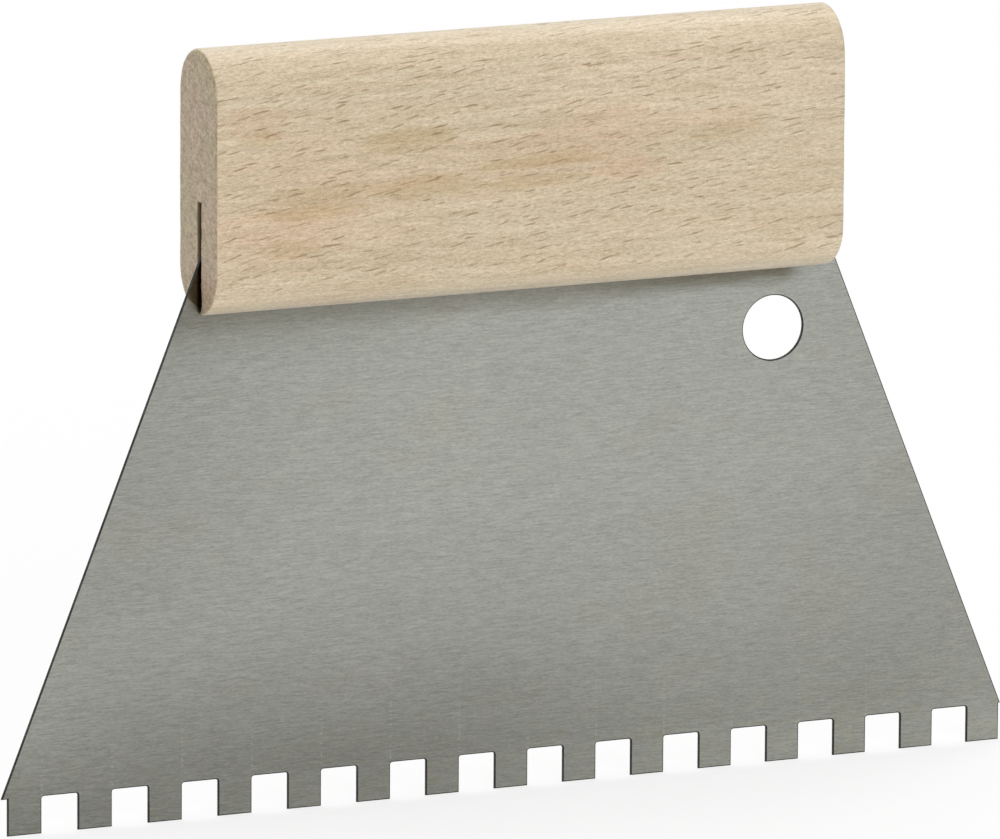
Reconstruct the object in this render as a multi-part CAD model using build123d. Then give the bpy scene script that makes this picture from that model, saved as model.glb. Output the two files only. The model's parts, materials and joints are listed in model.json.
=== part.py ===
from build123d import *
import os

# A hand-held notched trowel for spreading adhesive: a toothed sheet-steel blade, held in a saw
# kerf along the underside of a beech handle by three nails driven from the rear.
#
# Frame: millimetres, +X along the teeth, +Y to the rear (the side the nails are driven from),
# +Z from the tooth tips up to the handle. The origin is midway along the blade, in the middle
# of the handle's thickness, at the height of the tooth tips.

# Blade: a trapezoid of thin sheet
blade_width = 180.0  # between the two sides, where they would meet the line of the tooth tips
blade_top_width = 100.3  # along the edge that sits in the handle
blade_height = 99.0  # from the tooth tips to the edge in the handle
sheet_thickness = 0.6

# Teeth: what is left between square notches, punched one beside the other
tooth_pitch = 12.0
notch_width = 6.2
notch_depth = 6.0
notch_corner_radius = 0.4
tooth_row_shift = 0.35  # the row of teeth stands this far off the blade's middle, towards +X

# Hanging hole in the blade
hanging_hole_diameter = 10.5
hanging_hole_drop = 9.7  # from the handle's underside down to the hole's centre
hanging_hole_inset = 15.3  # from the blade's side, at the same height, in to the hole's centre

# Handle: a bar with a half-round top and a half-round underside
handle_length = 109.0
handle_thickness = 15.0
handle_height = 42.4
handle_shift = 0.6  # the handle sits this far off the blade's middle, towards +X
handle_end_softening = 0.5  # radius where each sawn end meets the long faces

# Saw kerf that takes the blade. The blade lies against its rear wall and reaches its top.
kerf_depth = 17.9
kerf_play = 0.65  # free room left in front of the blade
kerf_width = sheet_thickness + kerf_play
front_cheek = 6.3  # wood in front of the kerf

# Nails, driven from the rear through the rear cheek and the blade into the front cheek
nail_names = ("nail_left", "nail_middle", "nail_right")
nail_spacing = 36.0
nail_rise = 9.0  # from the handle's underside up to the nails
nail_diameter = 1.6
nail_head_diameter = 3.4
nail_head_thickness = 0.6
nail_point_length = 2.2
nail_point_diameter = 0.3
nail_front_cover = 2.0  # wood left between a nail's point and the handle's front face
nail_clearance = 0.03  # round the shank and the head, in the wood and in the blade

# Places that follow from the sizes above
handle_bottom = blade_height - kerf_depth
rear_face = handle_thickness / 2
kerf_rear_wall = front_cheek + kerf_width - handle_thickness / 2
kerf_middle = kerf_rear_wall - kerf_width / 2
blade_middle = kerf_rear_wall - sheet_thickness / 2
hanging_hole_height = handle_bottom - hanging_hole_drop
nail_height = handle_bottom + nail_rise
nail_length = handle_thickness - nail_front_cover
tooth_count = int(blade_width // tooth_pitch)
cut_past = 1.0  # how far a cutting shape runs past the surface that it opens


def blade_half_width(height):
    """Return half the blade's width at a height above the line of the tooth tips."""
    narrowing = (blade_width - blade_top_width) / 2 * height / blade_height
    return blade_width / 2 - narrowing


def nail_positions():
    """Return the X of each nail, from left to right."""
    middle = (len(nail_names) - 1) / 2
    return [handle_shift + (index - middle) * nail_spacing for index in range(len(nail_names))]


def sheet_plane():
    """Return the plane in which the blade is drawn, with X to the right and Y upwards."""
    return Plane(origin=(0, blade_middle, 0), x_dir=(1, 0, 0), z_dir=(0, -1, 0))


def blade_outline():
    """Draw the plain trapezoid that the blade is cut from."""
    bottom = blade_width / 2
    top = blade_top_width / 2
    corners = [(-bottom, 0), (bottom, 0), (top, blade_height), (-top, blade_height)]
    return make_face(Polyline(*corners, close=True))


def notch():
    """Draw one notch about its middle, open downwards, with rounded upper corners."""
    height = notch_depth + cut_past
    shape = Pos(0, notch_depth - height / 2) * Rectangle(notch_width, height)
    upper = shape.vertices().group_by(Axis.Y)[-1]
    return fillet(upper, notch_corner_radius)


def corner_cut(side):
    """Draw what the punch takes off one lower corner, outside the last tooth; side is -1 or 1."""
    tooth_width = tooth_pitch - notch_width
    last_tooth = tooth_row_shift + side * (tooth_count - 1) / 2 * tooth_pitch
    inner = last_tooth + side * tooth_width / 2
    outer = side * (blade_width / 2 + cut_past)
    height = notch_depth + cut_past
    return Pos((inner + outer) / 2, notch_depth - height / 2) * Rectangle(abs(outer - inner), height)


def blade():
    """Make the blade: teeth, corner cuts, hanging hole and nail holes in one sheet."""
    shape = blade_outline()
    for index in range(tooth_count - 1):
        middle = tooth_row_shift + (index - (tooth_count - 2) / 2) * tooth_pitch
        shape -= Pos(middle, 0) * notch()
    for side in (-1, 1):
        shape -= corner_cut(side)
    hole_x = blade_half_width(hanging_hole_height) - hanging_hole_inset
    shape -= Pos(hole_x, hanging_hole_height) * Circle(hanging_hole_diameter / 2)
    for x in nail_positions():
        shape -= Pos(x, nail_height) * Circle(nail_diameter / 2 + nail_clearance)
    return extrude(sheet_plane() * shape, sheet_thickness / 2, both=True)


def nail(clearance=0.0):
    """Make one nail at X = 0, its head level with the rear face; clearance widens it all round."""
    shank = nail_diameter / 2 + clearance
    head = nail_head_diameter / 2 + clearance
    point = nail_point_diameter / 2 + clearance
    head_underside = rear_face - nail_head_thickness - clearance
    tip = rear_face - nail_length - clearance
    shoulder = tip + nail_point_length
    side = [
        (0, tip),
        (point, tip),
        (shank, shoulder),
        (shank, head_underside),
        (head, head_underside),
        (head, rear_face),
        (0, rear_face),
    ]
    solid = revolve(make_face(Polyline(*side, close=True)), Axis.Y)
    return Pos(0, 0, nail_height) * solid


def handle():
    """Make the handle: the rounded bar, its kerf and the holes that the nails fill."""
    middle = handle_bottom + handle_height / 2
    section = Plane.YZ * Pos(0, middle) * SlotOverall(handle_height, handle_thickness, rotation=90)
    bar = Pos(handle_shift, 0, 0) * extrude(section, handle_length / 2, both=True)
    ends = bar.faces().sort_by(Axis.X)
    bar = fillet(ends[0].edges() + ends[-1].edges(), handle_end_softening)
    kerf = Box(handle_length + 2 * cut_past, kerf_width, kerf_depth + cut_past)
    kerf = Pos(handle_shift, kerf_middle, handle_bottom + (kerf_depth - cut_past) / 2) * kerf
    bar -= kerf
    for x in nail_positions():
        bar -= Pos(x, 0, 0) * nail(nail_clearance)
    return bar


def parts():
    """Return every piece under its node's name."""
    pieces = {"handle": handle(), "blade": blade()}
    for name, x in zip(nail_names, nail_positions()):
        pieces[name] = Pos(x, 0, 0) * nail()
    return pieces


os.makedirs("parts", exist_ok=True)
for name, piece in parts().items():
    export_step(piece, f"parts/{name}.step")
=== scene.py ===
"""Dresses a notched trowel: its beech handle, its toothed sheet-steel blade and its nails.

Lengths are metres in the part's own frame: +X along the teeth, +Y to the rear, +Z up from
the tooth tips. Shader patterns are written in millimetres of the same frame.
"""

import json
import logging
import math
from dataclasses import dataclass
from enum import Enum
from typing import Any, ClassVar, Sequence, Union

import bmesh
import bpy
from mathutils import Matrix, Vector, noise


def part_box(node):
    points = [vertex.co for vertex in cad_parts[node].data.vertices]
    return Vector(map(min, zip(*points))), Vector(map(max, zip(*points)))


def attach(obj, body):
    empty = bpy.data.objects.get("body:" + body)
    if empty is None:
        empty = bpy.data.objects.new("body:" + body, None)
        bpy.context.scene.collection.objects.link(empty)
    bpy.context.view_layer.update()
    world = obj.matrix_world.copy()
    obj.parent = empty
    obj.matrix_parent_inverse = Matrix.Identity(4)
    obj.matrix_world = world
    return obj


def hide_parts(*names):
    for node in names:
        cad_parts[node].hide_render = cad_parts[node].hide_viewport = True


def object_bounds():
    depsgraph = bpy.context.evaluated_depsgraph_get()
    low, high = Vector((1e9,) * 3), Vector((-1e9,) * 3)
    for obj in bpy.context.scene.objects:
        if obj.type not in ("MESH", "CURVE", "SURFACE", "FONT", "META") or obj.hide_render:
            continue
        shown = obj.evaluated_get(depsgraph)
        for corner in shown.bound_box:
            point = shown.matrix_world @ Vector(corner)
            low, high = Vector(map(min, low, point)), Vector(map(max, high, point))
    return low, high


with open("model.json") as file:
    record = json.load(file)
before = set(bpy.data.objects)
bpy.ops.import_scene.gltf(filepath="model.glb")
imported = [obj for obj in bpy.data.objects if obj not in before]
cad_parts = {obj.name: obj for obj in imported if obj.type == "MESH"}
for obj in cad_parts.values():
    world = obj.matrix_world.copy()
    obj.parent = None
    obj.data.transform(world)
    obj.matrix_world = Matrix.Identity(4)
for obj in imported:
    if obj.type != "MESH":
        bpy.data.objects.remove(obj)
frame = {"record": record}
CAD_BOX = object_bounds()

log = logging.getLogger("trowel")

MM = 0.001
ROOT_BODY = "root"
Colour = tuple[float, float, float, float]
WHITE: Colour = (1.0, 1.0, 1.0, 1.0)


class Tint(Enum):
    """How the wood's colour drifts in a patch, or a painted highlight lightens it, as a share of
    red, green and blue.
    """

    TAN = (0.83, 0.775, 0.63, 1.0)
    PINK = (1.0, 0.918, 0.885, 1.0)
    BROWN = (0.45, 0.37, 0.28, 1.0)
    # A painted highlight: lighter and a little bluer, for the brighter top of the handle.
    PAINTED_HIGHLIGHT = (1.08, 1.08, 1.11, 1.0)


# ---------------------------------------------------------------------------------------
# Shader graphs
# ---------------------------------------------------------------------------------------


class Signal:
    """One number carried by a node socket; its operators add Math nodes."""

    def __init__(self, graph: "Graph", socket: bpy.types.NodeSocket) -> None:
        """Wrap an output socket, whose number new nodes of its graph can use."""
        self.graph = graph
        self.socket = socket

    def _math(self, operation: str, *values: "Operand") -> "Signal":
        """Add a Math node on some values and return its result."""
        node = self.graph.node("Math", {"operation": operation}, dict(enumerate(values)))
        return Signal(self.graph, node.outputs[0])

    def __add__(self, other: "Operand") -> "Signal":
        """Return self + other."""
        return self._math("ADD", self, other)

    def __radd__(self, other: "Operand") -> "Signal":
        """Return other + self."""
        return self._math("ADD", other, self)

    def __sub__(self, other: "Operand") -> "Signal":
        """Return self - other."""
        return self._math("SUBTRACT", self, other)

    def __rsub__(self, other: "Operand") -> "Signal":
        """Return other - self."""
        return self._math("SUBTRACT", other, self)

    def __mul__(self, other: "Operand") -> "Signal":
        """Return self * other."""
        return self._math("MULTIPLY", self, other)

    def __rmul__(self, other: "Operand") -> "Signal":
        """Return other * self."""
        return self._math("MULTIPLY", other, self)

    def __truediv__(self, other: "Operand") -> "Signal":
        """Return self / other."""
        return self._math("DIVIDE", self, other)

    def __rtruediv__(self, other: "Operand") -> "Signal":
        """Return other / self."""
        return self._math("DIVIDE", other, self)

    def share_of(self, step: "Operand") -> "Signal":
        """Return how far self is into its step of a row of equal steps, from 0 to the step."""
        return self._math("FLOORED_MODULO", self, step)

    def __abs__(self) -> "Signal":
        """Return the size of self."""
        return self._math("ABSOLUTE", self)

    def larger(self, other: "Operand") -> "Signal":
        """Return the larger of self and other."""
        return self._math("MAXIMUM", self, other)

    def smaller(self, other: "Operand") -> "Signal":
        """Return the smaller of self and other."""
        return self._math("MINIMUM", self, other)

    def rise(self, start: "Operand", stop: "Operand") -> "Signal":
        """Return 0 below start, 1 above stop and a smooth step between them.

        Args:
            start: Where the step begins. It may be above stop, and the step then falls.
            stop: Where the step ends.

        Returns:
            The stepped number.
        """
        node = self.graph.node(
            "MapRange",
            {"interpolation_type": "SMOOTHSTEP"},
            {"Value": self, "From Min": start, "From Max": stop},
        )
        return Signal(self.graph, node.outputs[0])


Operand = Union[Signal, float]


class Graph:
    """The node tree of one material or world, with short ways to add to it."""

    def __init__(self, tree: bpy.types.NodeTree) -> None:
        """Empty a node tree and keep it, to be filled."""
        self.tree = tree
        tree.nodes.clear()

    def node(
        self,
        kind: str,
        settings: dict[str, Any] | None = None,
        inputs: dict[Any, Any] | None = None,
    ) -> bpy.types.Node:
        """Add one node.

        Args:
            kind: The node's type, without the ShaderNode that starts it.
            settings: Properties of the node, set first.
            inputs: Values or links for its sockets, by name or by number.

        Returns:
            The new node.
        """
        made = self.tree.nodes.new("ShaderNode" + kind)
        for name, value in (settings or {}).items():
            setattr(made, name, value)
        for name, value in (inputs or {}).items():
            self._feed(made.inputs[name], value)
        return made

    def _feed(self, socket: bpy.types.NodeSocket, value: Any) -> None:
        """Link or set one input socket.

        Args:
            socket: The input.
            value: A Signal or an output socket to link, or else a value to set.
        """
        source = value.socket if isinstance(value, Signal) else value
        if isinstance(source, bpy.types.NodeSocket):
            self.tree.links.new(source, socket)
        else:
            socket.default_value = source

    def signal(self, node: bpy.types.Node, output: Any = 0) -> Signal:
        """Return one output of a node as a number."""
        return Signal(self, node.outputs[output])

    def split(self, vector: bpy.types.NodeSocket) -> tuple[Signal, Signal, Signal]:
        """Return a vector's X, Y and Z."""
        parts = self.node("SeparateXYZ", None, {0: vector})
        return tuple(self.signal(parts, axis) for axis in range(3))

    def place_mm(self) -> tuple[Signal, Signal, Signal]:
        """Return X, Y and Z of the shaded point in the object's own frame, in millimetres.

        Returns:
            The three numbers.
        """
        where = self.node("TexCoord").outputs["Object"]
        large = self.node("VectorMath", {"operation": "SCALE"}, {0: where, "Scale": 1 / MM})
        return self.split(large.outputs[0])

    def facing(self) -> tuple[Signal, Signal, Signal]:
        """Return X, Y and Z of the surface's direction in the object's own frame."""
        return self.split(self.node("TexCoord").outputs["Normal"])

    def vector(self, x: Operand, y: Operand, z: Operand) -> bpy.types.NodeSocket:
        """Join three numbers into a vector."""
        return self.node("CombineXYZ", None, {0: x, 1: y, 2: z}).outputs[0]

    def noise(
        self, x: Operand, y: Operand, z: Operand, detail: float = 2.0, rough: float = 0.5
    ) -> Signal:
        """Return smooth noise about 0.5, one lump to each unit of a place.

        Args:
            x: The place along X, already divided by the length of the lumps.
            y: The place along Y, divided in the same way.
            z: The place along Z, divided in the same way.
            detail: How many finer layers are added.
            rough: How strong each finer layer is.

        Returns:
            The noise.
        """
        inputs = {"Vector": self.vector(x, y, z), "Scale": 1.0}
        inputs |= {"Detail": detail, "Roughness": rough}
        return self.signal(self.node("TexNoise", None, inputs))

    def mix(
        self, share: Operand, first: Any, second: Any, blend: str = "MIX"
    ) -> bpy.types.NodeSocket:
        """Blend two colours.

        Args:
            share: How much of the second colour, from 0 to 1.
            first: The colour at 0.
            second: The colour at 1.
            blend: The kind of blend, such as MIX or MULTIPLY.

        Returns:
            The blended colour.
        """
        made = self.node(
            "Mix", {"data_type": "RGBA", "blend_type": blend}, {0: share, 6: first, 7: second}
        )
        return made.outputs[2]

    def tint(self, colour: Any, by: Any) -> bpy.types.NodeSocket:
        """Return a colour multiplied by another."""
        return self.mix(1.0, colour, by, "MULTIPLY")

    def shade(self, colour: Any, level: Signal) -> bpy.types.NodeSocket:
        """Return a colour made lighter or darker by a number."""
        grey = self.node("CombineColor", None, {0: level, 1: level, 2: level})
        return self.tint(colour, grey.outputs[0])

    def bump(self, height: Signal, depth: float) -> bpy.types.NodeSocket:
        """Return a normal that follows a height, where 1 stands a depth in metres above 0."""
        made = self.node("Bump", None, {"Height": height, "Distance": depth, "Strength": 1.0})
        return made.outputs[0]

    def principled(self, inputs: dict[str, Any]) -> bpy.types.Node:
        """Return a new surface shader with some of its inputs given."""
        return self.node("BsdfPrincipled", None, inputs)


def swings(*parts: tuple[Signal, float]) -> Signal:
    """Add up noises, each with its strength, and return a sum that lies about 0."""
    terms = [(part - 0.5) * strength for part, strength in parts]
    return sum(terms[1:], terms[0])


# ---------------------------------------------------------------------------------------
# Finishes
# ---------------------------------------------------------------------------------------


class Finish:
    """A finish that a surface wears. Each kind names its material and adds its own nodes."""

    name: ClassVar[str]

    def fill(self, graph: Graph) -> bpy.types.Node:
        """Add the finish's nodes to a graph and return its shader."""
        raise NotImplementedError

    def material(self) -> bpy.types.Material:
        """Make the finish's node material.

        Returns:
            The material.
        """
        made = bpy.data.materials.new(self.name)
        made.use_nodes = True
        graph = Graph(made.node_tree)
        shader = self.fill(graph)
        graph.node("OutputMaterial", None, {"Surface": shader.outputs[0]})
        return made


@dataclass(frozen=True)
class Patch:
    """One soft patch of colour in the wood or of painted highlight, placed on the handle's front
    face, in millimetres.
    """

    x: float
    z: float
    half_length: float
    half_height: float
    tint: Tint
    strength: float


@dataclass(frozen=True)
class Rays:
    """One size of the wood's rays, which show as short dark spindles along the grain.

    A ray is a thin blade: it is long across the tree's rings, short along the grain and thin
    between. Each cell of the wood holds one, or none. Lengths are in millimetres, the reach is
    a share of the cell, and the tilt is how far a ray climbs for each step along the grain.
    The offset shifts the cells, so that two sizes of ray don't fall on each other.
    """

    cell: tuple[float, float, float]
    share: float
    length: float
    thickness: float
    reach: float
    offset: float
    tilt: float
    least_lean: float = 0.35
    lean_spread: float = 1.3
    fuller_end: float = 0.25
    least_thickness: float = 0.003

    def mask(self, graph: Graph, place: tuple[Signal, Signal, Signal]) -> Signal:
        """Return 1 inside the rays and 0 outside.

        Args:
            graph: The graph to add to.
            place: The place along the grain, along the rays and across them.

        Returns:
            The mask.
        """
        shifted = [axis / size + self.offset for axis, size in zip(place, self.cell)]
        at = graph.vector(*shifted)
        cells = graph.node("TexVoronoi", {"feature": "F1"}, {"Vector": at, "Scale": 1.0})
        inputs = {0: at, 1: cells.outputs["Position"]}
        offset = graph.node("VectorMath", {"operation": "SUBTRACT"}, inputs)
        along, depth, across = graph.split(offset.outputs[0])
        chance = graph.node("SeparateColor", None, {0: cells.outputs["Color"]})
        half_length = (0.5 + graph.signal(chance, 1)) * (self.length / 2 / self.cell[0])
        run = along / half_length
        taper = (1 - run * run).larger(0.0)
        fuller = 1 - self.fuller_end + run * self.fuller_end
        half_thick = taper * fuller * (self.thickness / 2) + self.least_thickness
        lean = (graph.signal(chance, 2) * self.lean_spread + self.least_lean) * self.tilt
        thin = abs(across * self.cell[2] - along * self.cell[0] * lean)
        body = thin.rise(half_thick, half_thick * 0.25) * taper.rise(0.0, 0.3)
        present = graph.signal(chance, 0).rise(1 - self.share, 1.02 - self.share)
        return body * present * abs(depth).rise(self.reach, self.reach * 0.8)


@dataclass(frozen=True)
class Beech(Finish):
    """Sanded, unvarnished beech. Its grain runs along X, and its rays lean down to the rear."""

    name: ClassVar[str] = "beech"
    cream: Colour = (0.669, 0.545, 0.370, 1.0)
    deep: Colour = (0.68, 0.64, 0.55, 1.0)
    bright: Colour = (1.29, 1.36, 1.50, 1.0)
    dust: Colour = (0.72, 0.86, 1.0, 1.0)
    ray_brown: Colour = (0.56, 0.475, 0.365, 1.0)
    fine_brown: Colour = (0.76, 0.71, 0.63, 1.0)
    end_green: Colour = (0.452, 0.338, 0.172, 1.0)
    end_pink: Colour = (0.482, 0.334, 0.192, 1.0)
    front_y: float = -7.5
    ray_lean: float = math.radians(-35)
    grain_slope: float = 0.005
    grain_bend: float = 0.0004
    ring_tilt: float = math.radians(22)
    wander: float = 1.3
    quiver: float = 0.22
    fray: float = 2.2
    patch_edge: tuple[float, float] = (2.6, 1.2)
    blush_share: float = 0.5
    small_ray_share: float = 0.8
    sheen: float = 0.22
    relief: float = 0.05 * MM
    rays: Rays = Rays(
        (3.8, 8.0, 1.15), share=0.78, length=2.9, thickness=0.44, reach=0.42, offset=0.0, tilt=0.135
    )
    small_rays: Rays = Rays(
        (2.0, 5.0, 0.66), share=0.72, length=1.4, thickness=0.28, reach=0.40, offset=7.3, tilt=0.110
    )
    figure_and_highlight: tuple[Patch, ...] = (
        Patch(-36.0, 101.0, 24.0, 9.0, Tint.PINK, 0.55),
        Patch(0.0, 102.5, 22.0, 4.5, Tint.PINK, 0.50),
        Patch(-20.9, 107.8, 9.0, 1.7, Tint.TAN, 0.80),
        Patch(1.0, 103.1, 13.0, 1.0, Tint.TAN, 0.85),
        Patch(-34.0, 100.6, 12.0, 1.3, Tint.TAN, 0.60),
        Patch(-17.4, 100.4, 9.0, 1.6, Tint.TAN, 0.80),
        Patch(-37.7, 97.7, 10.0, 1.3, Tint.TAN, 0.75),
        Patch(0.0, 99.7, 9.0, 1.2, Tint.TAN, 0.65),
        Patch(33.9, 105.3, 8.0, 1.2, Tint.TAN, 0.50),
        Patch(-46.6, 110.1, 4.0, 1.2, Tint.TAN, 0.60),
        Patch(-41.4, 91.7, 5.5, 1.2, Tint.TAN, 0.50),
        Patch(14.6, 107.8, 12.5, 3.0, Tint.PINK, 0.85),
        Patch(17.3, 100.4, 6.5, 1.8, Tint.PINK, 0.85),
        Patch(-43.0, 94.3, 13.0, 4.0, Tint.PINK, 0.70),
        Patch(-47.1, 112.8, 7.0, 1.9, Tint.PINK, 0.80),
        Patch(34.0, 107.6, 8.0, 1.6, Tint.PINK, 0.80),
        Patch(53.2, 87.3, 1.5, 0.20, Tint.BROWN, 0.9),
        Patch(53.8, 90.4, 0.9, 0.14, Tint.BROWN, 0.6),
        # A painted highlight: lighter, bluer wood along the upper front and the top towards the
        # right, where the light falls more strongly.
        Patch(28.0, 114.5, 30.0, 4.5, Tint.PAINTED_HIGHLIGHT, 1.0),
    )

    def _climb(self, x: Any) -> Any:
        """Return how far the grain has risen at a place along the handle, or at a Signal of it."""
        return x * (self.grain_slope - x * (self.grain_bend / 2))

    def _grain_place(self, graph: Graph) -> tuple[Signal, Signal, Signal]:
        """Work out where a point lies in the tree, in millimetres.

        Args:
            graph: The graph to add to.

        Returns:
            The place along the grain, along the rays and across them.
        """
        x, y, z = graph.place_mm()
        wander = graph.noise(x / 26, y / 9, z / 7, 1.0)
        quiver = graph.noise(x / 1.9, y / 2, z / 1.6 + 4, 1.0)
        lean, upright = math.sin(self.ray_lean), math.cos(self.ray_lean)
        along_ray = y * upright + z * lean
        across = z * upright - y * lean - self._climb(x)
        return x, along_ray, across - swings((wander, self.wander), (quiver, self.quiver))

    def _patch(self, graph: Graph, place: tuple[Signal, Signal, Signal], patch: Patch) -> Signal:
        """Return how strongly one patch colours a place.

        Args:
            graph: The graph to add to.
            place: The place along the grain, along the rays and across them.
            patch: The patch.

        Returns:
            The share of the patch's tint, from 0 to the patch's strength.
        """
        along, depth, across = place
        middle = patch.z * math.cos(self.ray_lean) - self.front_y * math.sin(self.ray_lean)
        middle -= self._climb(patch.x)
        ragged = graph.noise(along / 6 + patch.x, depth / 5, across / 0.7)
        run = (along - patch.x) / patch.half_length
        height = (across - middle) / patch.half_height
        from_middle = run * run + height * height + ragged * self.fray
        return from_middle.rise(*self.patch_edge) * patch.strength

    def fill(self, graph: Graph) -> bpy.types.Node:
        """Add the beech's nodes.

        Args:
            graph: The graph to add to.

        Returns:
            The shader.
        """
        place = self._grain_place(graph)
        along, depth, across = place
        colour = self.cream
        for patch in self.figure_and_highlight:
            share = self._patch(graph, place, patch)
            colour = graph.mix(share, colour, graph.tint(colour, patch.tint.value))
        cloud = graph.noise(along / 18, depth / 9, across / 1.6 + 5)
        blush = graph.tint(colour, Tint.PINK.value)
        colour = graph.mix(cloud.rise(0.45, 0.75) * self.blush_share, colour, blush)
        x, y, z = graph.place_mm()
        grit = graph.noise(x / 0.26, y / 0.26, z / 0.17, 0.0)
        fibre = graph.noise(along / 0.9, depth / 0.25, across / 0.27, 1.0, 0.7)
        strand = graph.noise(along / 6, depth / 0.6, across / 0.50 + 5)
        band = graph.noise(along / 45, depth / 2.5, across / 1.6 + 11)
        grain = 0.5 + swings((fibre, 1.0), (strand, 0.55), (band, 0.60), (grit, 0.50))
        side = graph.mix(grain, graph.tint(colour, self.deep), graph.tint(colour, self.bright))
        out_x, out_y, out_z = graph.facing()
        cut_across = abs(out_y * math.cos(self.ray_lean) + out_z * math.sin(self.ray_lean))
        shown = cut_across.rise(0.25, 0.55)
        rays = self.rays.mask(graph, place) * shown
        small_rays = self.small_rays.mask(graph, place) * shown
        depth_of_tone = graph.noise(along / 6, depth / 4, across / 2.5 + 3, 1.0)
        ray_share = rays * depth_of_tone.rise(0.15, 0.75)
        side = graph.mix(ray_share, side, graph.tint(side, self.ray_brown))
        fine = graph.tint(side, self.fine_brown)
        side = graph.mix(small_rays * self.small_ray_share, side, fine)
        sawn = abs(out_x).rise(0.55, 0.95)
        end, pores = self._end_grain(graph, x, y, z)
        colour = graph.mix(sawn, side, end)
        marks = rays.larger(small_rays * 0.5) * (1 - sawn)
        height = fibre * 0.45 + strand * 0.3 - marks * 0.5 + pores * sawn * 0.9
        return graph.principled(
            {
                "Base Color": colour,
                "Roughness": 0.46 + swings((fibre, 0.2)),
                "Sheen Weight": self.sheen,
                "Sheen Roughness": 0.5,
                "Sheen Tint": self.dust,
                "Normal": graph.bump(height, self.relief),
            }
        )

    def _end_grain(
        self, graph: Graph, x: Signal, y: Signal, z: Signal
    ) -> tuple[bpy.types.NodeSocket, Signal]:
        """Return the colour of the sawn ends, and how high their cut fibres stand.

        Args:
            graph: The graph to add to.
            x: The place along the handle, in millimetres.
            y: The place to the rear.
            z: The place upwards.

        Returns:
            The colour and the height.
        """
        flat, steep = math.cos(self.ring_tilt), math.sin(self.ring_tilt)
        along_ring = y * flat + z * steep
        across_ring = z * flat - y * steep
        tone = graph.noise(x / 9, along_ring / 12, across_ring / 7, 1.0)
        mottle = graph.noise(x / 9, along_ring / 2.0, across_ring / 1.1 + 2)
        pores = graph.noise(x, y / 0.75, z / 0.48 + 9, 2.0, 0.6)
        colour = graph.mix(tone.rise(0.42, 0.60), self.end_green, self.end_pink)
        ring = abs(graph.noise(x / 9, along_ring / 20, across_ring / 6, 0.0) - 0.5)
        edge = graph.noise(x, y / 0.9, z / 1.3 + 6, 1.0)
        line = ring.rise(0.016, 0.0) * edge.rise(0.30, 0.60)
        level = 0.5 + swings((pores, 2.2), (mottle, 1.7)) - line * 0.6
        low, high = graph.tint(colour, self.deep), graph.tint(colour, self.bright)
        return graph.mix(level, low, high), pores


@dataclass(frozen=True)
class SawnKerf(Finish):
    """The walls of the saw kerf: dark brown wood with teeth marks across it, painted paler near the
    ends and darker deeper in as shade.
    """

    name: ClassVar[str] = "sawn_kerf"
    half_length: float
    middle: float
    # The dark brown is painted shade deep in the slot; the pale brown shows near the ends.
    brown: Colour = (0.075, 0.048, 0.022, 1.0)
    pale: Colour = (0.240, 0.175, 0.100, 1.0)
    shade_free_depth: float = 0.7
    shade_free_share: float = 0.6
    smear_share: float = 0.1
    relief: float = 0.1 * MM

    def fill(self, graph: Graph) -> bpy.types.Node:
        """Add the kerf's nodes.

        Args:
            graph: The graph to add to.

        Returns:
            The shader.
        """
        x, y, z = graph.place_mm()
        stroke = graph.noise(x / 0.5 + z / 3, y, z / 6)
        smear = graph.noise(x / 6, y, z / 2)
        # Painted shade: paler within a short depth of each end, dark brown deeper in the slot.
        from_end = self.half_length - abs(x - self.middle)
        pale_share = from_end.rise(self.shade_free_depth, 0.0) * self.shade_free_share
        pale_share = pale_share + smear.rise(0.4, 0.7) * self.smear_share
        colour = graph.mix(pale_share, self.brown, self.pale)
        colour = graph.shade(colour, 0.75 + stroke * 0.5)
        normal = graph.bump(stroke, self.relief)
        return graph.principled({"Base Color": colour, "Roughness": 0.85, "Normal": normal})


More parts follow.
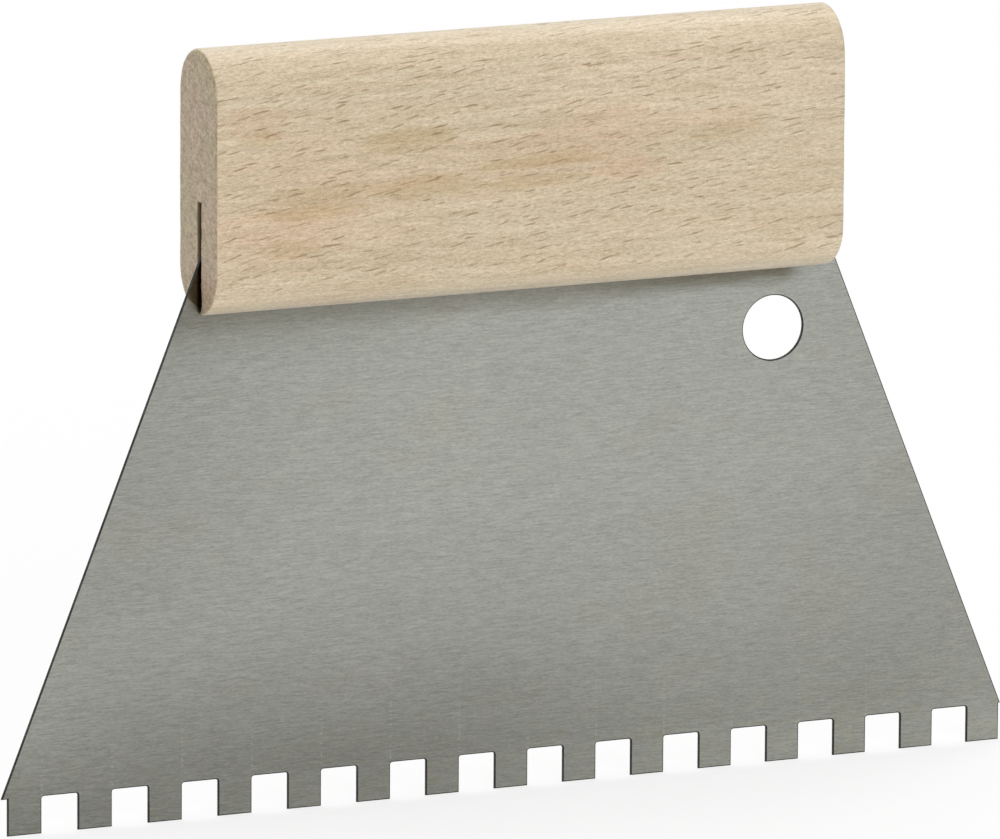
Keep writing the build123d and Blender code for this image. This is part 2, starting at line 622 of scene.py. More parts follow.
@dataclass(frozen=True)
class RolledSteel(Finish):
    """Matt cold-rolled sheet, with fine streaks along X and the punch's faint guide marks."""

    name: ClassVar[str] = "rolled_steel"
    pitch: float
    notch_width: float
    row_shift: float
    handle_corner: tuple[float, float]
    grey: Colour = (0.357, 0.363, 0.327, 1.0)
    oiled: Colour = (0.350, 0.338, 0.270, 1.0)
    warm: Colour = (0.363, 0.340, 0.291, 1.0)
    bare: Colour = (0.560, 0.560, 0.520, 1.0)
    # Painted shade under the handle, then a painted brown reflection and shade of the handle's end
    # at the kerf's left mouth.
    under_handle_shade: Colour = (0.46, 0.42, 0.36, 1.0)
    mouth_reflection: Colour = (0.40, 0.29, 0.19, 1.0)
    warm_share: float = 0.4
    oiled_share: float = 0.4
    guide_share: float = 0.25
    guide_half_width: float = 0.16
    relief: float = 0.006 * MM

    def _guide_marks(self, graph: Graph, x: Signal, z: Signal) -> Signal:
        """Work out the faint dotted lines that rise from the notches' left sides.

        Args:
            graph: The graph to add to.
            x: The place along the teeth, in millimetres.
            z: The height above the tooth tips.

        Returns:
            1 on a line and 0 beside it.
        """
        row = ((x - self.row_shift) / self.pitch).share_of(1.0)
        side = 0.5 - self.notch_width / self.pitch / 2
        thin = (abs(row - side) * self.pitch).rise(self.guide_half_width, 0.06)
        dots = graph.noise(x / 3, 0.0, z / 0.5, 0.0).rise(0.50, 0.60)
        height = graph.noise(x / 9, 0.0, 0.0, 0.0) * 24 + 8
        return thin * dots * z.rise(height, height * 0.5)

    def _painted_shading(self, graph: Graph, x: Signal, z: Signal) -> Signal:
        """Work out the sheet's painted shading: darker reflections towards the teeth and the sides.

        Args:
            graph: The graph to add to.
            x: The place along the teeth, in millimetres.
            z: The height above the tooth tips.

        Returns:
            The painted shading, about 1.
        """
        cloud = graph.noise(x / 30, 0.0, z / 12, 1.0)
        low = (z + swings((cloud, 10))).rise(40, -2)
        left, right = x.rise(-50, -90) * z.rise(6, 18), x.rise(-30, 60) + x.rise(60, 90) * 0.6
        lower = low * (0.42 - left * 0.12 - right * 0.22)
        side = x.rise(40, 80) * 0.07 + x.rise(-33, -75) * z.rise(22, 40) * 0.12
        middle = z.rise(52, 36).larger(x.rise(-5, -50)) * 0.065
        tips = z.rise(9, 3) * x.rise(-66, -40) * 0.10
        return (1 - lower) * (1 - side - middle + tips)

    def _shade_by_handle(self, graph: Graph, x: Signal, z: Signal) -> tuple[Signal, Signal]:
        """Work out the painted shade on the sheet beside the wood.

        Args:
            graph: The graph to add to.
            x: The place along the teeth, in millimetres.
            z: The height above the tooth tips.

        Returns:
            The shares of painted shade under the handle and of painted shade and reflection at the
            kerf's left mouth.
        """
        corner_x, corner_z = self.handle_corner
        ragged = graph.noise(x / 9, 0.0, z)
        below = corner_z - z + swings((ragged, 1.6))
        left, right = x.rise(0, -45), x.rise(5, 35)
        near = below.rise(5.0 - right * 1.4, 0.3) * (0.66 - left * 0.26 + right * 0.34)
        near = near * x.rise(52.0, 47.5) + left * below.rise(11, 2) * 0.25
        mouth = z - corner_z - 1 + (x - corner_x).smaller(0.0) * 0.94
        return near, mouth.rise(-0.15, 0.35) * 0.85

    def fill(self, graph: Graph) -> bpy.types.Node:
        """Add the steel's nodes.

        Args:
            graph: The graph to add to.

        Returns:
            The shader.
        """
        x, y, z = graph.place_mm()
        streak = graph.noise(x / 0.55, y, z / 0.13, 0.0)
        dash = graph.noise(x / 2.3 + 9, y, z / 0.15, 0.0)
        long_streak = graph.noise(x / 24, y, z / 0.8)
        cloud = graph.noise(x / 16, y + 3, z / 9, 3.0)
        mottle = graph.noise(x / 3.0, y + 8, z / 2.0)
        colour = graph.mix(cloud.rise(0.52, 0.72) * self.warm_share, self.grey, self.warm)
        near_teeth = z.rise(26, 2) * mottle.rise(0.35, 0.65)
        colour = graph.mix(near_teeth * self.oiled_share, colour, self.oiled)
        tone = 1.0 + swings((streak, 0.38), (dash, 0.34), (long_streak, 0.06), (mottle, 0.06))
        # Painted shading: darker reflections towards the teeth, the sides and the lower middle, a
        # little lighter at the tips.
        colour = graph.shade(colour, tone * self._painted_shading(graph, x, z))
        marks = self._guide_marks(graph, x, z) * self.guide_share
        colour = graph.mix(marks, colour, self.bare)
        # Painted shade under the handle, and a painted reflection of the handle's end at the kerf's
        # mouth.
        for share, painted_tint in zip(self._shade_by_handle(graph, x, z), (self.under_handle_shade, self.mouth_reflection)):
            colour = graph.mix(share, colour, graph.tint(colour, painted_tint))
        return graph.principled(
            {
                "Base Color": colour,
                "Metallic": 1.0,
                "Roughness": 0.30 + swings((dash, 0.10), (cloud, 0.05)),
                "Anisotropic": 0.8,
                "Anisotropic Rotation": 0.25,
                "Normal": graph.bump(dash * 0.7 + long_streak * 0.3, self.relief),
            }
        )


@dataclass(frozen=True)
class ShearedEdge(Finish):
    """The cut edge of the sheet: dark, with fine tears across its thickness."""

    name: ClassVar[str] = "sheared_edge"
    dark: Colour = (0.020, 0.020, 0.019, 1.0)
    torn: Colour = (0.075, 0.074, 0.069, 1.0)
    relief: float = 0.03 * MM

    def fill(self, graph: Graph) -> bpy.types.Node:
        """Add the edge's nodes.

        Args:
            graph: The graph to add to.

        Returns:
            The shader.
        """
        x, y, z = graph.place_mm()
        tear = graph.noise(x / 0.18, y / 1.5, z / 0.18)
        band = graph.noise(x / 4, y / 0.3, z / 4, 1.0)
        colour = graph.mix((tear * 0.6 + band * 0.4).rise(0.4, 0.7), self.dark, self.torn)
        return graph.principled(
            {
                "Base Color": colour,
                "Metallic": 0.7,
                "Roughness": 0.55,
                "Normal": graph.bump(tear, self.relief),
            }
        )


@dataclass(frozen=True)
class NailWire(Finish):
    """Drawn steel wire, a little dulled, with the hammer's small dents on the head."""

    name: ClassVar[str] = "nail_wire"
    bright: Colour = (0.47, 0.46, 0.44, 1.0)
    dull: Colour = (0.28, 0.26, 0.23, 1.0)
    relief: float = 0.08 * MM

    def fill(self, graph: Graph) -> bpy.types.Node:
        """Add the wire's nodes.

        Args:
            graph: The graph to add to.

        Returns:
            The shader.
        """
        x, y, z = graph.place_mm()
        dent = graph.noise(x / 0.6, y / 0.6, z / 0.6)
        film = graph.noise(x / 1.4, y / 1.4, z / 1.4 + 4, 3.0)
        colour = graph.mix(film.rise(0.40, 0.65), self.bright, self.dull)
        return graph.principled(
            {
                "Base Color": colour,
                "Metallic": 1.0,
                "Roughness": 0.34 + film * 0.22,
                "Normal": graph.bump(dent, self.relief),
            }
        )


@dataclass(frozen=True)
class PaleFloor(Finish):
    """A plain pale sheet that shows almost white and still keeps a soft shadow."""

    name: ClassVar[str] = "pale_floor"
    paper: Colour = (0.94, 0.94, 0.94, 1.0)
    shown_white: float = 0.80

    def fill(self, graph: Graph) -> bpy.types.Node:
        """Add the floor's nodes.

        Args:
            graph: The graph to add to.

        Returns:
            The shader.
        """
        paper = graph.node("BsdfDiffuse", None, {"Color": self.paper})
        white = graph.node("Emission", None, {"Color": WHITE, "Strength": 1.0})
        share = seen_directly(graph) * self.shown_white
        return graph.node("MixShader", None, {0: share, 1: paper.outputs[0], 2: white.outputs[0]})


def seen_directly(graph: Graph) -> Signal:
    """Tell what the camera sees straight, in a reflection or through glass.

    Args:
        graph: The graph to add to.

    Returns:
        1 where it does, and 0 for the light that falls on things.
    """
    path = graph.node("LightPath")
    camera = graph.signal(path, "Is Camera Ray")
    glossy = graph.signal(path, "Is Glossy Ray")
    through = graph.signal(path, "Is Transmission Ray")
    return camera.larger(glossy).larger(through)


# ---------------------------------------------------------------------------------------
# Meshes
# ---------------------------------------------------------------------------------------


def add_object(name: str, data: bpy.types.ID) -> bpy.types.Object:
    """Link new object data into the scene.

    Args:
        name: The object's name.
        data: The mesh, curve, light or camera that it shows.

    Returns:
        The object.
    """
    made = bpy.data.objects.new(name, data)
    bpy.context.scene.collection.objects.link(made)
    return made


def baked_mesh(source: bpy.types.Object, name: str) -> bpy.types.Mesh:
    """Return an object's shape as a mesh with its modifiers applied, and remove the object.

    Args:
        source: The object to bake.
        name: The new mesh's name.

    Returns:
        The mesh.
    """
    graph = bpy.context.evaluated_depsgraph_get()
    mesh = bpy.data.meshes.new_from_object(source.evaluated_get(graph))
    mesh.name = name
    bpy.data.objects.remove(source)
    return mesh


def finished_mesh(shape: bmesh.types.BMesh, name: str) -> bpy.types.Mesh:
    """Turn a shape's faces outwards and return it as a mesh.

    Args:
        shape: The shape, which is freed.
        name: The new mesh's name.

    Returns:
        The mesh.
    """
    bmesh.ops.recalc_face_normals(shape, faces=shape.faces)
    mesh = bpy.data.meshes.new(name)
    shape.to_mesh(mesh)
    shape.free()
    return mesh


def arc(
    centre: tuple[float, float], radius: float, start: float, stop: float, steps: int
) -> list[tuple[float, float]]:
    """Return the points of an arc, both ends included, with its angles in degrees."""
    angles = [math.radians(start + (stop - start) * i / steps) for i in range(steps + 1)]
    return [(centre[0] + radius * math.cos(a), centre[1] + radius * math.sin(a)) for a in angles]


def circle(centre: tuple[float, float], radius: float, steps: int) -> list[tuple[float, float]]:
    """Return points round a circle, without the last one, which is the first again."""
    return arc(centre, radius, 0, -360, steps)[:-1]


def revolve_about_y(
    side: Sequence[tuple[float, float]], steps: int, name: str
) -> bpy.types.Mesh:
    """Turn a side view about the Y axis into a closed mesh.

    Args:
        side: Points of radius and Y, from one point on the axis to the other.
        steps: How many steps the turn has.
        name: The new mesh's name.

    Returns:
        The mesh.
    """
    shape = bmesh.new()
    turn = [math.tau * i / steps for i in range(steps)]
    rings = []
    for radius, y in side:
        angles = turn if radius else turn[:1]
        ring = [(radius * math.cos(a), y, radius * math.sin(a)) for a in angles]
        rings.append([shape.verts.new(place) for place in ring])
    for low, high in zip(rings, rings[1:]):
        for i in range(steps):
            corners = [low[i % len(low)], low[(i + 1) % len(low)]]
            corners += [high[(i + 1) % len(high)], high[i % len(high)]]
            shape.faces.new(dict.fromkeys(corners))
    return finished_mesh(shape, name)


# ---------------------------------------------------------------------------------------
# The trowel
# ---------------------------------------------------------------------------------------


class Piece:
    """One real piece, which takes the place of a node of the plain solids."""

    node: str
    slot: ClassVar[str]
    crease: ClassVar[float]

    def dressed(self, mesh: bpy.types.Mesh) -> bpy.types.Object:
        """Shade a mesh smooth up to its creases and put it in the node's place.

        Args:
            mesh: The piece's mesh, with its materials.

        Returns:
            The piece's object.
        """
        mesh.shade_smooth()
        mesh.set_sharp_from_angle(angle=math.radians(self.crease))
        made = add_object(self.node + "_dressed", mesh)
        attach(made, ROOT_BODY)
        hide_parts(self.node)
        return made


@dataclass
class Nail(Piece):
    """One wire nail, driven from the rear until its head is level with the wood."""

    slot = "nail_steel"
    crease = 40.0
    node: str
    shank_radius: float = 0.8 * MM
    head_radius: float = 1.7 * MM
    head_thickness: float = 0.6 * MM
    point_length: float = 2.2 * MM
    tip_radius: float = 0.15 * MM
    rim: float = 0.12 * MM
    dish: float = 0.07 * MM
    rim_steps: int = 4
    turn_steps: int = 40

    def axis(self) -> Vector:
        """Return the point where the nail's axis meets Y = 0."""
        low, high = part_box(self.node)
        return Vector(((low.x + high.x) / 2, 0.0, (low.z + high.z) / 2))

    def side(self, spare: float = 0.0) -> list[tuple[float, float]]:
        """Return the side view as radius and Y, from the point to the head.

        Args:
            spare: How far every surface is moved out, for the hole that the nail makes.

        Returns:
            The points of the side view.
        """
        low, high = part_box(self.node)
        under_head = high.y - self.head_thickness
        points = [(0.0, low.y - spare), (self.tip_radius, low.y - spare)]
        points += [(self.shank_radius + spare, low.y + self.point_length)]
        points += [(self.shank_radius + spare, under_head - spare)]
        points += [(self.head_radius + spare, under_head - spare)]
        if spare:
            return points + [(self.head_radius + spare, high.y + MM), (0.0, high.y + MM)]
        rim_centre = (self.head_radius - self.rim, high.y - self.rim)
        points += arc(rim_centre, self.rim, 0, 90, self.rim_steps)
        points += [(self.head_radius * 0.45, high.y - self.dish * 0.7), (0.0, high.y - self.dish)]
        return points

    def build(self, finish: bpy.types.Material) -> bpy.types.Object:
        """Build and dress the nail.

        Args:
            finish: The wire's material.

        Returns:
            The nail's object.
        """
        mesh = self._turned(0.0, self.node + "_wire")
        mesh.materials.append(finish)
        return self.dressed(mesh)

    def hole(self, spare: float) -> bpy.types.Object:
        """Return a temporary object with the shape of the hole that the nail makes."""
        return add_object("nail_hole", self._turned(spare, "nail_hole"))

    def _turned(self, spare: float, name: str) -> bpy.types.Mesh:
        """Return the nail's side view, grown by a spare length, turned about its axis.

        Args:
            spare: How far every surface is moved out.
            name: The new mesh's name.

        Returns:
            The mesh.
        """
        mesh = revolve_about_y(self.side(spare), self.turn_steps, name)
        mesh.transform(Matrix.Translation(self.axis()))
        return mesh


@dataclass
class Blade(Piece):
    """The toothed sheet: a trapezoid with punched notches, a hanging hole and nail holes."""

    slot = "blade_steel"
    crease = 35.0
    nails: Sequence[Nail]
    width: float = 180.0 * MM
    top_width: float = 100.3 * MM
    pitch: float = 12.0 * MM
    notch_width: float = 6.2 * MM
    notch_depth: float = 6.0 * MM
    corner_radius: float = 0.4 * MM
    row_shift: float = 0.35 * MM
    burr: float = 0.20 * MM
    nail_room: float = 0.03 * MM
    corner_steps: int = 5
    burr_steps: int = 2
    hole_steps: int = 96
    nail_hole_steps: int = 24
    flat_facing: float = 0.999
    node: str = "blade"

    def half_width(self, height: float) -> float:
        """Work out half the blade's width.

        Args:
            height: The height above the tooth tips.

        Returns:
            The half width there.
        """
        low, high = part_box(self.node)
        narrowing = (self.width - self.top_width) / 2 * height / (high.z - low.z)
        return self.width / 2 - narrowing

    def outline(self) -> list[tuple[float, float]]:
        """Draw the sheet's outline.

        Returns:
            Its corners as X and Z, from the lower left round.
        """
        low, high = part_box(self.node)
        teeth = round(self.width / self.pitch)
        half_tooth = (self.pitch - self.notch_width) / 2
        ledge = low.z + self.notch_depth
        points = [(-self.half_width(self.notch_depth), ledge)]
        for index in range(teeth):
            middle = self.row_shift + (index - (teeth - 1) / 2) * self.pitch
            left, right = middle - half_tooth, middle + half_tooth
            if index == 0:
                points.append((left, ledge))
            points += [(left, low.z), (right, low.z)]
            if index < teeth - 1:
                points += self._notch_top(right, right + self.notch_width, ledge)
        points += [(right, ledge), (self.half_width(self.notch_depth), ledge)]
        top = self.top_width / 2
        return points + [(top, high.z), (-top, high.z)]

    def _notch_top(self, left: float, right: float, ledge: float) -> list[tuple[float, float]]:
        """Draw the rounded upper corners of one notch.

        Args:
            left: The notch's left side.
            right: Its right side.
            ledge: The height of its top.

        Returns:
            The points of both corners, from left to right.
        """
        r, steps = self.corner_radius, self.corner_steps
        first = arc((left + r, ledge - r), r, 180, 90, steps)
        return first + arc((right - r, ledge - r), r, 90, 0, steps)

    def hanging_hole(self) -> tuple[float, float, float]:
        """Look the hanging hole up among the record's mounts.

        Returns:
            Its X, its Z and its radius.
        """
        mounts = {mount["name"]: mount for mount in frame["record"]["mounts"]}
        hole = mounts["hanging_hole"]
        x, _, z = hole["pos_m"]
        return x, z, hole["dims"]["r_mm"] * MM

    def _sheet(self) -> bpy.types.Mesh:
        """Cut the sheet from its outlines, with the burr of the cut just rounded over.

        Returns:
            The mesh.
        """
        low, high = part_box(self.node)
        curve = bpy.data.curves.new("sheet", "CURVE")
        curve.dimensions = "2D"
        curve.fill_mode = "BOTH"
        curve.extrude = (high.y - low.y) / 2 - self.burr
        curve.bevel_depth = self.burr
        curve.bevel_resolution = self.burr_steps
        curve.offset = -self.burr
        x, z, radius = self.hanging_hole()
        loops = [self.outline(), circle((x, z), radius, self.hole_steps)]
        for nail in self.nails:
            at, room = nail.axis(), nail.shank_radius + self.nail_room
            loops.append(circle((at.x, at.z), room, self.nail_hole_steps))
        for loop in loops:
            spline = curve.splines.new("POLY")
            spline.points.add(len(loop) - 1)
            spline.use_cyclic_u = True
            for point, (along, up) in zip(spline.points, loop):
                point.co = (along, up, 0.0, 1.0)
        mesh = baked_mesh(add_object("sheet", curve), "blade_sheet")
        upright = Matrix.Rotation(math.radians(90), 4, "X")
        mesh.transform(Matrix.Translation((0, (low.y + high.y) / 2, 0)) @ upright)
        return mesh

    def build(self, sheet: bpy.types.Material, edge: bpy.types.Material) -> bpy.types.Object:
        """Build and dress the blade.

        Args:
            sheet: The material of the rolled faces.
            edge: The material of the cut edges.

        Returns:
            The blade's object.
        """
        mesh = self._sheet()
        mesh.materials.clear()
        for finish in (sheet, edge):
            mesh.materials.append(finish)
        for face in mesh.polygons:
            face.material_index = int(abs(face.normal.y) < self.flat_facing)
        return self.dressed(mesh)


@dataclass
class ProfilePoint:
    """One point of the handle's section, with what the sweep needs to know about it."""

    y: float
    z: float
    out_y: float
    out_z: float
    in_kerf: bool


@dataclass
class Handle(Piece):
    """The beech bar, with its softened ends and the saw kerf that takes the blade."""

    slot = "handle_wood"
    crease = 38.0
    nails: Sequence[Nail]
    kerf_width: float = 1.25 * MM
    softening: float = 0.5 * MM
    softening_spread: float = 0.2 * MM
    kerf_softening: float = 0.06 * MM
    kerf_wear: float = 0.12 * MM
    kerf_break: float = 0.42 * MM
    kerf_chip: float = 0.24 * MM
    kerf_rear_share: float = 0.6
    ragged: float = 0.09 * MM
    nail_bruise: float = 0.06 * MM
    end_rim: float = 0.12 * MM
    torn_reach: float = 2.0 * MM
    station_gap: float = 1.1 * MM
    arc_steps: int = 40
    flat_steps: int = 16
    wall_steps: int = 44
    end_steps: int = 5
    node: str = "handle"

    def __post_init__(self) -> None:
        """Work out the section from the boxes of the handle and the blade."""
        self.low, self.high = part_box(self.node)
        _, blade_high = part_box("blade")
        self.middle = (self.low.x + self.high.x) / 2
        self.half_length = (self.high.x - self.low.x) / 2
        self.radius = (self.high.y - self.low.y) / 2
        self.kerf_rear = blade_high.y
        self.kerf_front = blade_high.y - self.kerf_width
        self.kerf_top = blade_high.z
        self.lower_centre = self.low.z + math.sqrt(self.radius**2 - self.kerf_rear**2)

    def _section(self) -> list[ProfilePoint]:
        """Draw the bar's section.

        Returns:
            Its points, from the kerf's front edge round the bar to the kerf's rear edge, and
            then up and down the kerf's walls.
        """
        lower, upper = self.lower_centre, self.high.z - self.radius
        front = -90 + math.degrees(math.asin(self.kerf_front / self.radius))
        rear = -90 + math.degrees(math.asin(self.kerf_rear / self.radius))
        points = self._rounded(lower, front, -180, self.arc_steps // 2)
        points += self._straight(-1.0, lower, upper)
        points += self._rounded(upper, 180, 0, self.arc_steps)
        points += self._straight(1.0, upper, lower)
        points += self._rounded(lower, 0, rear, self.arc_steps // 2)
        return points + self._kerf_walls()

    def _rounded(self, centre: float, start: float, stop: float, steps: int) -> list[ProfilePoint]:
        """Draw one of the bar's roundings.

        Args:
            centre: The height of its centre.
            start: The angle of its first point, in degrees.
            stop: The angle of its last point, in degrees.
            steps: How many equal steps it has.

        Returns:
            Its points, both ends included.
        """
        r = self.radius
        points = arc((0, centre), r, start, stop, steps)
        return [ProfilePoint(y, z, y / r, (z - centre) / r, False) for y, z in points]

    def _straight(self, out: float, start: float, stop: float) -> list[ProfilePoint]:
        """Draw one flat side of the bar.

        Args:
            out: Which way the side faces: -1 to the front, 1 to the rear.
            start: The height where it starts.
            stop: The height where it stops.

        Returns:
            Its inner points.
        """
        steps = self.flat_steps
        heights = [start + (stop - start) * i / steps for i in range(1, steps)]
        return [ProfilePoint(out * self.radius, z, out, 0.0, False) for z in heights]

    def _mouth(self, y: float) -> float:
        """Return the height of the bar's underside at a depth, such as at the kerf's mouth."""
        return self.lower_centre - math.sqrt(self.radius**2 - y**2)

    def _kerf_walls(self) -> list[ProfilePoint]:
        """Draw the kerf's walls.

        Returns:
            The points of its rear wall going up and of its front wall coming down.
        """
        steps, top = self.wall_steps, self.kerf_top
        rear_mouth, front_mouth = self._mouth(self.kerf_rear), self._mouth(self.kerf_front)
        shares = [i / steps for i in range(1, steps)]
        rear = [rear_mouth + (top - rear_mouth) * share for share in shares]
        front = [top + (front_mouth - top) * share for share in shares]
        walls = [ProfilePoint(self.kerf_rear, z, -1.0, 0.0, True) for z in rear]
        walls.append(ProfilePoint(self.kerf_rear, top, -1.0, -1.0, True))
        walls.append(ProfilePoint(self.kerf_front, top, 1.0, -1.0, True))
        return walls + [ProfilePoint(self.kerf_front, z, 1.0, 0.0, True) for z in front]

    def _stations(self) -> list[tuple[float, float, float]]:
        """Set out the stations of the sweep along the bar.

        Returns:
            For each one, the sign of its end, or 0 between the ends, the turn of the end's
            rounding and the place along X.
        """
        turns = [math.radians(90 * i / self.end_steps) for i in range(self.end_steps + 1)]
        inner = self.half_length - self.softening - self.softening_spread
        count = int(2 * inner / self.station_gap)
        left = [(-1.0, turn, 0.0) for turn in reversed(turns)]
        middle = [(0.0, 0.0, inner * (2 * i / count - 1)) for i in range(count + 1)]
        right = [(1.0, turn, 0.0) for turn in turns]
        return left + middle + right

    def _point_at(self, point: ProfilePoint, station: tuple[float, float, float]) -> Vector:
        """Return where a point of the section lies at a station.

        Args:
            point: The point of the section.
            station: The sign of the end, the turn of its rounding and the place along X.

        Returns:
            The vertex's place.
        """
        sign, turn, x = station
        wear = self._kerf_wear(point) if point.in_kerf else self._wear(point.y, point.z, sign)
        drop = 1 - math.cos(turn) if sign else 0.0
        if sign:
            x = sign * (self.half_length - wear + wear * math.sin(turn))
        x += self.middle
        y = point.y - point.out_y * wear * drop
        z = point.z - point.out_z * wear * drop
        if point.in_kerf:
            y += point.out_y * self._torn_fibre(x, point.z)
            mouth = self._mouth(point.y)
            share = (self.kerf_top - point.z) / (self.kerf_top - mouth)
            z += share * drop * self._wear(point.y, mouth, sign)
        return Vector((x, y, z))

    def _kerf_wear(self, point: ProfilePoint) -> float:
        """Work out how far the kerf's edge has broken out at an end.

        Args:
            point: The point of the kerf's wall.

        Returns:
            The length of the break along the wall.
        """
        broken = noise.noise(Vector((point.out_y, point.z * 420, 2.6)))
        chipped = noise.noise(Vector((point.out_y, point.z * 1500, 6.1)))
        loose = 1.0 if point.out_y > 0 else self.kerf_rear_share
        spread = self.kerf_wear + max(0.0, broken + 0.15) * self.kerf_break
        spread += max(0.0, chipped) * self.kerf_chip
        return self.kerf_softening + spread * loose

    def _wear(self, y: float, z: float, sign: float) -> float:
        """Return the radius of the sanded edge at one place round an end."""
        seed = Vector((y * 260, z * 260, sign * 3.7))
        return self.softening + self.softening_spread * noise.noise(seed)

    def _torn_fibre(self, x: float, z: float) -> float:
        """Work out how far torn fibres stand into the kerf, at its mouths and ends only.

        Args:
            x: The place along the bar.
            z: The height.

        Returns:
            The fibres' length.
        """
        from_end = self.half_length - abs(x - self.middle)
        from_mouth = z - self.low.z
        near = max(0.0, 1 - min(from_end, from_mouth) / self.torn_reach)
        if z > self.kerf_top - 0.2 * MM:
            return 0.0
        fine = noise.noise(Vector((x * 900, z * 1900, 1.3)))
        coarse = noise.noise(Vector((x * 240, z * 520, 8.1)))
        return self.ragged * near * max(0.0, fine * 0.7 + coarse * 0.8)

    def _bar(self) -> bpy.types.Mesh:
        """Sweep the section along the bar and close its ends.

        Returns:
            The bar's mesh, without the nails' holes.
        """
        section = self._section()
        count = len(section)
        shape = bmesh.new()
        rings = [
            [shape.verts.new(self._point_at(point, station)) for point in section]
            for station in self._stations()
        ]
        for near, far in zip(rings, rings[1:]):
            for i in range(count):
                j = (i + 1) % count
                face = shape.faces.new((near[i], near[j], far[j], far[i]))
                face.material_index = int(section[i].in_kerf or section[j].in_kerf)
        for ring in (rings[0], rings[-1]):
            self._close_end(shape, ring, section)
        return finished_mesh(shape, "handle_bar")

    def _close_end(
        self, shape: bmesh.types.BMesh, ring: list, section: list[ProfilePoint]
    ) -> None:
        """Close one end with a narrow flat rim and a face, so that the rounding ends cleanly.

        Args:
            shape: The bar's shape.
            ring: The end's vertices.
            section: The points of the section that they belong to.
        """
        inner = []
        for vertex, point in zip(ring, section):
            step = Vector((0.0, point.out_y, point.out_z)) * self.end_rim
            inner.append(shape.verts.new(vertex.co - step))
        count = len(ring)
        for i in range(count):
            j = (i + 1) % count
            shape.faces.new((ring[i], ring[j], inner[j], inner[i]))
        shape.faces.new(inner)

    def _drive_nails(self, bar: bpy.types.Object) -> bpy.types.Mesh:
        """Cut the nails' holes out of the bar.

        Args:
            bar: The bar's object, which is removed.

        Returns:
            The finished mesh.
        """
        holes = [nail.hole(self.nail_bruise) for nail in self.nails]
        for hole in holes:
            cut = bar.modifiers.new("hole", "BOOLEAN")
            cut.operation = "DIFFERENCE"
            cut.solver = "EXACT"
            cut.object = hole
        bpy.context.view_layer.update()
        mesh = baked_mesh(bar, "handle_bar")
        for hole in holes:
            bpy.data.objects.remove(hole)
        return mesh

    def build(self, wood: bpy.types.Material, kerf: bpy.types.Material) -> bpy.types.Object:
        """Build and dress the handle.

        Args:
            wood: The material of the sanded faces and the sawn ends.
            kerf: The material of the kerf's walls.

        Returns:
            The handle's object.
        """
        mesh = self._bar()
        for finish in (wood, kerf):
            mesh.materials.append(finish)
        mesh = self._drive_nails(add_object("bar", mesh))
        return self.dressed(mesh)


# ---------------------------------------------------------------------------------------
# The studio
# ---------------------------------------------------------------------------------------


@dataclass(frozen=True)
class SoftLamp:
    """One large soft lamp, placed and aimed from the middle of the trowel."""

    name: str
    azimuth: float
    elevation: float
    power: float
    distance: float = 4.5
    size: float = 3.6

    def build(self, target: Vector) -> bpy.types.Object:
        """Add the lamp.

        Args:
            target: The point that it is aimed at.

        Returns:
            The lamp's object.
        """
        data = bpy.data.lights.new(self.name, "AREA")
        data.shape = "SQUARE"
        data.size = self.size
        data.energy = self.power
        made = add_object(self.name, data)
        back = direction(self.azimuth, self.elevation)
        made.location = target + back * self.distance
        made.rotation_euler = (-back).to_track_quat("-Z", "Y").to_euler()
        return made


@dataclass
class Studio:
    """The pale floor, the plain soft light and the world round them."""

    floor_half: float = 12.0
    ambient: float = 0.18
    lamps: Sequence[SoftLamp] = (
        SoftLamp("overhead_lamp", azimuth=180.0, elevation=75.0, power=189.0),
        SoftLamp("front_lamp", azimuth=-5.0, elevation=20.0, power=90.0),
    )

    def build(self) -> None:
        """Add the floor, the lamps and the world."""
        low, high = CAD_BOX
        mesh = bpy.data.meshes.new("floor")
        h = self.floor_half
        corners = [(-h, -h, low.z), (h, -h, low.z), (h, h, low.z), (-h, h, low.z)]
        mesh.from_pydata(corners, [], [(0, 1, 2, 3)])
        mesh.materials.append(PaleFloor().material())
        add_object("floor", mesh)
        target = (low + high) / 2
        for lamp in self.lamps:
            lamp.build(target)
        self._world()

    def _world(self) -> None:
        """Light the scene evenly, and show white to the camera and in reflections."""
        world = bpy.data.worlds.new("studio")
        world.use_nodes = True
        graph = Graph(world.node_tree)
        strength = seen_directly(graph) * (1 - self.ambient) + self.ambient
        sky = graph.node("Background", None, {"Color": WHITE, "Strength": strength})
        graph.node("OutputWorld", None, {"Surface": sky.outputs[0]})
        bpy.context.scene.world = world


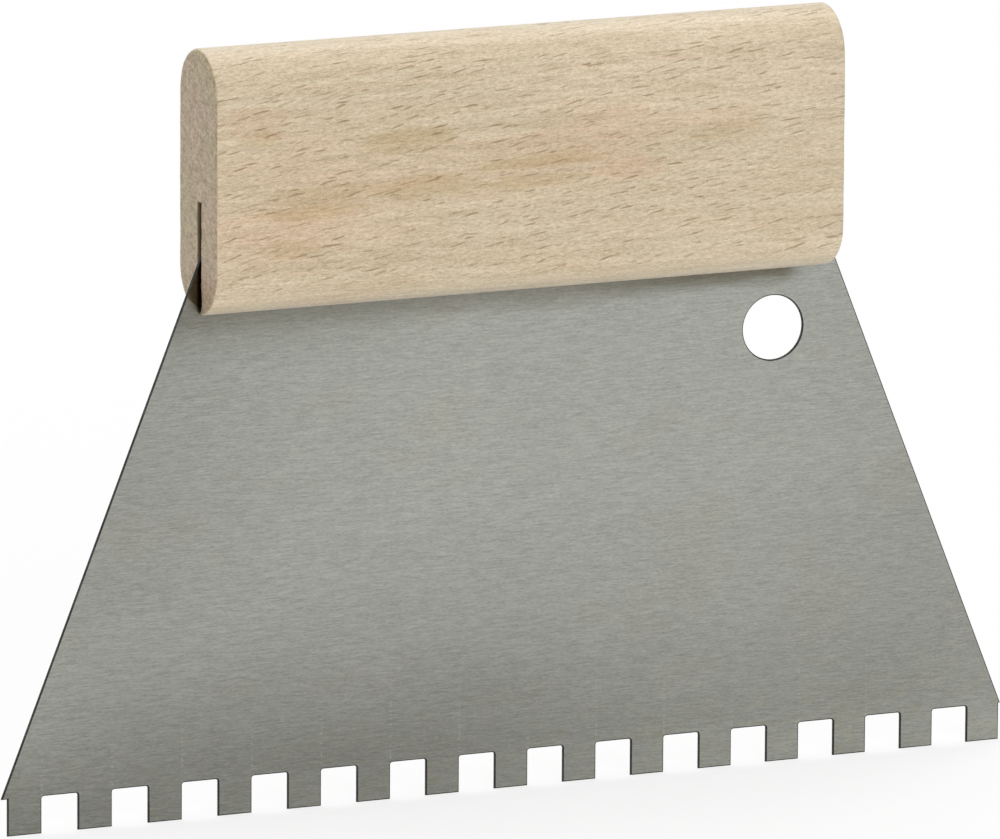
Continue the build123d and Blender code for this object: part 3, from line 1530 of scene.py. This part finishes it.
def direction(azimuth: float, elevation: float) -> Vector:
    """Return the unit vector towards an azimuth and an elevation, both in degrees.

    Args:
        azimuth: 0 is straight in front, along -Y, and it grows towards +X.
        elevation: The angle above the horizon.

    Returns:
        The vector.
    """
    turn, rise = math.radians(azimuth), math.radians(elevation)
    level = math.cos(rise)
    return Vector((math.sin(turn) * level, -math.cos(turn) * level, math.sin(rise)))


@dataclass
class Viewpoint:
    """A long-lens camera, in front of the trowel and a little to its left."""

    azimuth: float = -24.411
    elevation: float = 11.744
    roll: float = 0.318
    distance: float = 2.13706
    lens: float = 484.13
    sensor_width: float = 36.0
    nearest: float = 0.1
    farthest: float = 60.0
    aim: tuple[float, float, float] = (-1.81 * MM, -0.25 * MM, 60.15 * MM)

    def build(self) -> bpy.types.Object:
        """Add the camera and make it the scene's own.

        Returns:
            The camera's object.
        """
        azimuth, roll = math.radians(self.azimuth), math.radians(self.roll)
        back = direction(self.azimuth, self.elevation)
        level = Vector((math.cos(azimuth), math.sin(azimuth), 0.0))
        upward = back.cross(level)
        right = level * math.cos(roll) + upward * math.sin(roll)
        up = upward * math.cos(roll) - level * math.sin(roll)
        data = bpy.data.cameras.new("camera")
        data.sensor_width = self.sensor_width
        data.lens = self.lens
        data.clip_start = self.nearest
        data.clip_end = self.farthest
        made = add_object("camera", data)
        turn = Matrix((right, up, back)).transposed().to_4x4()
        made.matrix_world = Matrix.Translation(Vector(self.aim) + back * self.distance) @ turn
        bpy.context.scene.camera = made
        return made


def report(piece: bpy.types.Object) -> None:
    """Log one finished piece."""
    log.info("%s: %d faces", piece.name, len(piece.data.polygons))


def main() -> None:
    """Build the camera, the studio and the trowel, piece by piece."""
    logging.basicConfig(level=logging.INFO, format="%(name)s: %(message)s")
    bpy.context.scene.view_settings.view_transform = "Standard"
    Viewpoint().build()
    Studio().build()
    nails = [Nail(name) for name in ("nail_left", "nail_middle", "nail_right")]
    wire = NailWire().material()
    for nail in nails:
        report(nail.build(wire))
    blade = Blade(nails)
    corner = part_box("handle")[0] / MM
    steel = RolledSteel(
        blade.pitch / MM, blade.notch_width / MM, blade.row_shift / MM, (corner.x, corner.z)
    )
    report(blade.build(steel.material(), ShearedEdge().material()))
    handle = Handle(nails)
    kerf = SawnKerf(handle.half_length / MM, handle.middle / MM)
    report(handle.build(Beech().material(), kerf.material()))


if __name__ == "__main__":
    main()
